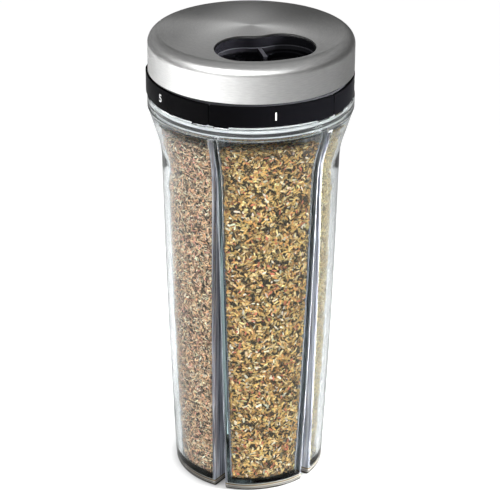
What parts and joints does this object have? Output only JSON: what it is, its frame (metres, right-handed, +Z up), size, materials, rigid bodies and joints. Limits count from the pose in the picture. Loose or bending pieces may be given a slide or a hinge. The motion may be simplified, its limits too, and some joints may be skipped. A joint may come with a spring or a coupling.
{
  "type": "multi-chamber herb shaker",
  "caption": "Clear lobed jar split into chambers of dried herbs, under a twist-to-select steel cap with a kidney window and a black label band.",
  "frame": {"origin": "middle of the base, on the table", "axes": "+Z up; the window, label 1 and chamber 1 face -Y"},
  "size_m": [0.0758, 0.0763, 0.179],
  "materials": {
    "clear": "gloss",
    "herb_olive": "matte",
    "herb_pale": "matte",
    "herb_dark": "matte",
    "herb_green": "matte",
    "herb_tan": "matte",
    "silicone": "satin",
    "grey_plastic": "satin",
    "black_gloss": "gloss",
    "black_matte": "matte",
    "steel": "satin",
    "hardware": "satin",
    "balls": "polished"
  },
  "bodies": {
    "jar": {"chamber_body": "clear", "jar_collar": "clear", "herb_fill_1": "herb_olive", "herb_fill_2": "herb_pale", "herb_fill_3": "herb_dark", "herb_fill_4": "herb_green", "herb_fill_5": "herb_tan"},
    "head": {"label_ring": "black_gloss", "label_plate_1": "black_gloss", "label_plate_2": "black_gloss", "label_plate_3": "black_gloss", "label_plate_4": "black_gloss", "label_plate_5": "black_gloss", "port_plate": "grey_plastic", "chamber_seal": "silicone", "collar_seal": "silicone"},
    "selector": {"steel_cap": "steel", "inner_cap": "black_gloss", "dispensing_insert": "black_gloss", "rotor_base": "black_matte", "rotor_seal": "silicone", "rotor_screws": "hardware", "pivot_screw": "hardware", "pivot_washer": "hardware", "disc_spring": "hardware", "detent_balls": "balls", "detent_springs": "hardware"}
  },
  "joints": [
    {"name": "head_lift", "type": "slide", "parent": "jar", "child": "head", "axis": [0, 0, 1], "range_m": [0, 0.04]},
    {"name": "cap_turn", "type": "hinge", "parent": "head", "child": "selector", "pos_m": [0, 0, 0.163], "axis": [0, 0, 1], "continuous": true}
  ]
}
